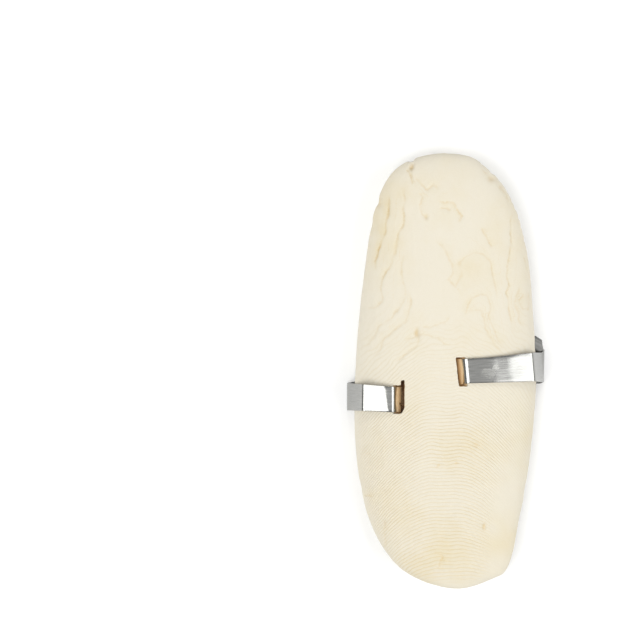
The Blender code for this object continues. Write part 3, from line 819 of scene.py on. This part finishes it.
def makeBoneFinish(dust, mottle):
    material, tree, shader = newFinish("chalkyBone")
    links, look = tree.links, boneFinish

    def attribute(name):
        return addNode(tree, "ShaderNodeAttribute", attribute_name=name).outputs["Fac"]

    clouds = groupNode(tree, mottle, {"Size": 16.0, "Contrast": 1.6, "Seed": 2.0})
    fine = groupNode(tree, mottle, {"Size": 3.0, "Contrast": 1.5, "Seed": 5.0})
    powder = groupNode(tree, dust, {"Zone": 1.0, "Fleck Size": 1.4, "Cover": 0.32, "Seed": 9.0})
    lamella, lined = attribute("lamella"), attribute("lined")
    stain, warm = attribute("stain"), attribute("warm")
    part = calc(tree, "FRACT", lamella)
    # a tan line on each ridge's steep riser: the ridge's own line and painted shade of the step
    stepLineAndShade = calc(tree, "MULTIPLY", spread(tree, part, 0.55, 0.86), spread(tree, part, 1.0, 0.9))
    finePart = calc(tree, "PINGPONG", calc(tree, "MULTIPLY", lamella, 3.0), 0.5)
    hairLine = spread(tree, finePart, 0.32, 0.5)
    bothLines = calc(tree, "ADD", stepLineAndShade, calc(tree, "MULTIPLY", hairLine, look["hairLine"]))
    unevenLine = spread(tree, clouds["Cloud"], 0.25, 0.75, 0.75, 1.2)
    lineShare = calc(tree, "MULTIPLY", unevenLine, look["lineStrength"])
    lineAndShadeMask = calc(tree, "MULTIPLY", calc(tree, "MULTIPLY", bothLines, lined), lineShare, clamp=True)
    cloudTint = spread(tree, clouds["Cloud"], 0.42, 0.85, 0.0, look["cloudTint"])
    # worn edges: a thin line, and painted shade as a warm tint on the side that lies lower
    wobble = spread(tree, fine["Speck"], 0.2, 0.8, -0.28, 0.28)
    edgeSide = calc(tree, "ADD", attribute("edgeSide"), wobble)
    edgeTone = attribute("edgeTone")
    edgeLine = spread(tree, calc(tree, "ABSOLUTE", edgeSide), look["edgeWidth"], 0.04)
    lowSide = spread(tree, edgeSide, -0.15, 0.15)
    edgePaintedShade = calc(tree, "MULTIPLY", spread(tree, edgeSide, look["edgePaintedShadeReach"], 0.0), lowSide)
    edgeShadeShare = calc(tree, "MULTIPLY", calc(tree, "MULTIPLY", edgePaintedShade, edgeTone), look["edgePaintedShade"])
    # warm now holds the warm patches and the painted shade below worn edges
    warm = calc(tree, "ADD", warm, edgeShadeShare)
    stain = calc(tree, "MAXIMUM", stain, calc(tree, "MULTIPLY", edgeLine, edgeTone))
    warmAndShadeShare = calc(tree, "ADD", calc(tree, "MULTIPLY", warm, look["patchTint"]), cloudTint, clamp=True)
    powderShare = spread(tree, fine["Speck"], 0.3, 0.7, 0.0, look["powderCover"])
    stainShare = calc(tree, "MULTIPLY", stain, look["stainStrength"])
    colour = mixColour(tree, warmAndShadeShare, look["chalk"], look["chalkWarm"])
    colour = mixColour(tree, powderShare, colour, look["powder"])
    colour = mixColour(tree, lineAndShadeMask, colour, look["line"])
    colour = mixColour(tree, stainShare, colour, look["stain"])
    # the hard back and the smooth rim
    back = attribute("hardBack")
    granules = addNode(tree, "ShaderNodeTexVoronoi", {
        "Vector": addNode(tree, "ShaderNodeTexCoord").outputs["Object"],
        "Scale": look["granulesPerMetre"],
        "Randomness": 0.9,
    }).outputs["Distance"]
    granule = spread(tree, granules, 0.1, 0.55, 1.0, 0.0)
    arcs = spread(tree, calc(tree, "PINGPONG", calc(tree, "MULTIPLY", lamella, 0.45), 0.5), 0.25, 0.5)
    arcShare = calc(tree, "MULTIPLY", arcs, look["backArcs"])
    granuleShare = calc(tree, "MULTIPLY", granule, look["backGranules"])
    backColour = mixColour(tree, arcShare, look["hardBack"], look["chalkWarm"])
    backColour = mixColour(tree, granuleShare, backColour, look["granule"])
    colour = mixColour(tree, back, colour, backColour)
    # the broken walls of the two slots, tan, with painted shade that darkens them towards the floor
    speckle = spread(tree, fine["Speck"], 0.3, 0.7, -0.12, 0.12)
    wallShade = calc(tree, "ADD", attribute("slotShade"), speckle, clamp=True)
    wallColour = mixColour(tree, wallShade, look["slotTan"], look["slotShadeColour"])
    colour = mixColour(tree, spread(tree, attribute("slotWall"), 0.5, 0.95), colour, wallColour)
    links.new(colour, shader.inputs["Base Color"])
    roughness = spread(tree, fine["Cloud"], 0.2, 0.8, *look["roughness"])
    roughness = calc(tree, "SUBTRACT", roughness, calc(tree, "MULTIPLY", back, look["backGloss"]))
    links.new(roughness, shader.inputs["Roughness"])
    shader.inputs["IOR"].default_value = 1.45
    grain = calc(tree, "MULTIPLY", calc(tree, "ADD", fine["Speck"], powder["Height"]), 0.5)
    hair = calc(tree, "MULTIPLY", calc(tree, "MULTIPLY", hairLine, lined), 0.5)
    chalkBump = calc(tree, "SUBTRACT", grain, hair)
    bumpMix = {0: back, 2: chalkBump, 3: granule}
    height = addNode(tree, "ShaderNodeMix", bumpMix, data_type="FLOAT").outputs[0]
    bumpInputs = {"Strength": look["grainBump"], "Distance": 0.06 * mm, "Height": height}
    bump = addNode(tree, "ShaderNodeBump", bumpInputs)
    links.new(bump.outputs[0], shader.inputs["Normal"])
    return material


clipFinish = {
    "metal": (0.42, 0.42, 0.405, 1),
    "metalDark": (0.29, 0.29, 0.275, 1),
    # the claws' metal tinted tan: a painted reflection of the chalk around them
    "clawPaintedReflection": (0.95, 0.80, 0.56, 1),
    "smear": (0.74, 0.73, 0.68, 1),
    # tan on the claws: chalk dust, and painted reflection of the chalk walls
    "clawDustAndReflection": (0.88, 0.70, 0.45, 1),
    "roughness": (0.12, 0.22),
    "smearCover": 0.3,
    "clawDustAndReflectionCover": 0.45,
    "dustRoughness": 0.5,    # added where dust lies
    # centre and reach
    "smears": (((12.2, 1.2, 15.8), (5.4, 3.4, 3.0)), ((14.6, 3.0, 15.2), (3.0, 2.6, 3.0))),
    # the claws: where the tan painted reflection and the chalk dust lie
    "claws": (((3.4, 1.4, 13.4), (2.6, 9.0, 3.6)), ((-15.4, -7.4, 12.2), (2.6, 9.0, 3.6))),
}


def makeClipFinish(dust, mottle, shiftX):
    material, tree, shader = newFinish("tinnedSheet")
    links, look = tree.links, clipFinish
    along = addNode(tree, "ShaderNodeAttribute", attribute_name="alongStrip").outputs["Fac"]
    acrossStrip = addNode(tree, "ShaderNodeAttribute", attribute_name="acrossStrip").outputs["Fac"]
    streakPlace = addNode(tree, "ShaderNodeCombineXYZ", {
        "X": calc(tree, "MULTIPLY", along, 0.16), "Y": calc(tree, "MULTIPLY", acrossStrip, 5.0),
    }).outputs[0]
    streakInputs = {"Vector": streakPlace, "Scale": 1.0, "Detail": 4.0, "Roughness": 0.6}
    streaks = addNode(tree, "ShaderNodeTexNoise", streakInputs).outputs[0]
    clouds = groupNode(tree, mottle, {"Size": 9.0, "Contrast": 1.6, "Seed": 7.0})
    place = addNode(tree, "ShaderNodeTexCoord").outputs["Object"]

    def zone(centre, reach):
        moved = addNode(tree, "ShaderNodeMapping", {
            "Vector": place,
            "Location": [-(c + s) / r for c, s, r in zip(centre, (shiftX, 0, 0), reach)],
            "Scale": [1000.0 / r for r in reach],
        }, vector_type="POINT").outputs[0]
        distance = addNode(tree, "ShaderNodeVectorMath", {0: moved}, operation="LENGTH").outputs["Value"]
        return spread(tree, distance, 1.0, 0.1)

    smear = calc(tree, "MAXIMUM", *(zone(*area) for area in look["smears"]))
    claws = calc(tree, "MAXIMUM", *(zone(*area) for area in look["claws"]))
    clawShare = spread(tree, claws, 0.05, 0.4)
    smearDust = groupNode(tree, dust, {"Zone": smear, "Fleck Size": 5.5, "Cover": 0.66, "Seed": 11.0})
    clawDustAndReflection = groupNode(tree, dust, {"Zone": clawShare, "Fleck Size": 2.4, "Cover": 0.62, "Seed": 5.0})
    smearStreaks = calc(tree, "MULTIPLY", smearDust["Mask"], spread(tree, streaks, 0.36, 0.66, 0.35, 1.0))
    smearShare = calc(tree, "MULTIPLY", smearStreaks, look["smearCover"])
    dustAndReflectionShare = calc(tree, "MULTIPLY", clawDustAndReflection["Mask"], look["clawDustAndReflectionCover"])
    metal = mixColour(tree, spread(tree, streaks, 0.3, 0.7), look["metalDark"], look["metal"])
    # painted reflection: the claws' metal takes a tan tint
    colour = mixColour(tree, clawShare, metal, look["clawPaintedReflection"])
    colour = mixColour(tree, smearShare, colour, look["smear"])
    # chalk dust on the claws, also painting their tan reflection of the chalk
    colour = mixColour(tree, dustAndReflectionShare, colour, look["clawDustAndReflection"])
    links.new(colour, shader.inputs["Base Color"])
    allDustAndReflection = calc(tree, "ADD", smearShare, dustAndReflectionShare, clamp=True)
    links.new(calc(tree, "SUBTRACT", 1.0, allDustAndReflection), shader.inputs["Metallic"])

    def weighed(first, firstShare, second, secondShare):
        parts = calc(tree, "MULTIPLY", first, firstShare), calc(tree, "MULTIPLY", second, secondShare)
        return calc(tree, "ADD", *parts)

    worn = weighed(streaks, 0.6, clouds["Cloud"], 0.4)
    rough = spread(tree, worn, 0.3, 0.7, *look["roughness"])
    dustRough = calc(tree, "MULTIPLY", allDustAndReflection, look["dustRoughness"])
    links.new(calc(tree, "ADD", rough, dustRough, clamp=True), shader.inputs["Roughness"])
    fineHeight = weighed(streaks, 0.4, clouds["Speck"], 0.2)
    bumpHeight = calc(tree, "ADD", fineHeight, allDustAndReflection)
    bumpInputs = {"Strength": 0.12, "Distance": 0.03 * mm, "Height": bumpHeight}
    links.new(addNode(tree, "ShaderNodeBump", bumpInputs).outputs[0], shader.inputs["Normal"])
    return material


studio = {
    "camera": (-41.4, 77.4, 561.0),
    "pitch": 6.0,            # degrees that the camera looks back towards the tail
    "roll": 0.575,
    "lens": 100.0,
    "world": 0.3,
    # place, width and height, radiance
    "rightBox": ((1000, -150, 860), (1000, 900), 3.1),
    "leftBox": ((-600, -150, 1005), (1000, 960), 3.35),
    "key": ((60, 730, 650), (150, 150), 13.5),
    "gapCard": ((250, -150, 1100), (560, 700), 0.48),
    "floor": (0.87, 0.87, 0.865, 1),
    "floorGlow": 0.14,       # the floor glows faintly: painted light that lifts the shadows around the bone
}


def softBox(name, place, size, radiance, target=(0, 0, 0)):
    light = bpy.data.lights.new(name, "AREA")
    light.shape, light.size, light.size_y = "RECTANGLE", size[0] * mm, size[1] * mm
    light.energy = radiance * math.pi * light.size * light.size_y
    lamp = bpy.data.objects.new(name, light)
    looks.objects.link(lamp)
    lamp.location = Vector(place) * mm
    lamp.rotation_euler = (Vector(target) * mm - lamp.location).to_track_quat("-Z", "Y").to_euler()
    return lamp


def makeStudio():
    scene = bpy.context.scene
    lens = bpy.data.cameras.new("studioCamera")
    lens.lens, lens.sensor_width = studio["lens"], 36.0
    lens.clip_start, lens.clip_end = 0.02, 20.0
    camera = bpy.data.objects.new("studioCamera", lens)
    looks.objects.link(camera)
    camera.location = Vector(studio["camera"]) * mm
    camera.rotation_euler = (math.radians(-studio["pitch"]), 0, math.radians(-studio["roll"]))
    scene.camera = camera
    scene.view_settings.view_transform = "Standard"
    world = bpy.data.worlds.new("studioAir")
    world.use_nodes = True
    world.node_tree.nodes["Background"].inputs["Color"].default_value = (1, 1, 1, 1)
    world.node_tree.nodes["Background"].inputs["Strength"].default_value = studio["world"]
    scene.world = world
    for name in ("rightBox", "leftBox", "key", "gapCard"):
        softBox(name, *studio[name])
    bm = bmesh.new()
    bmesh.ops.create_grid(bm, x_segments=2, y_segments=2, size=1.6)
    mesh = bpy.data.meshes.new("paleFloor")
    bm.to_mesh(mesh)
    bm.free()
    floor = newPiece("paleFloor", mesh)
    material, _, shader = newFinish("palePaper")
    shader.inputs["Base Color"].default_value = studio["floor"]
    shader.inputs["Roughness"].default_value = 0.9
    # painted light: the floor's glow lifts the shadows around the bone
    shader.inputs["Emission Color"].default_value = (1, 1, 1, 1)
    shader.inputs["Emission Strength"].default_value = studio["floorGlow"]
    mesh.materials.append(material)
    print("studio ready")


makeStudio()
dustGroup, mottleClouds = chalkDustGroup(), mottleGroup()
boneMaterial = makeBoneFinish(dustGroup, mottleClouds)
bonePiece, shiftAcross = makeSkin(boneMaterial)
cutSlots(bonePiece, shiftAcross, boneMaterial)
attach(bonePiece, "root")
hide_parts("cuttlebone")
print("bone finished:", len(bonePiece.data.polygons), "faces")

clipPiece = makeClip(shiftAcross, makeClipFinish(dustGroup, mottleClouds, shiftAcross))
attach(clipPiece, "root")
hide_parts("holder")
print("clip finished:", len(clipPiece.data.polygons), "faces, moved", round(shiftAcross, 3))
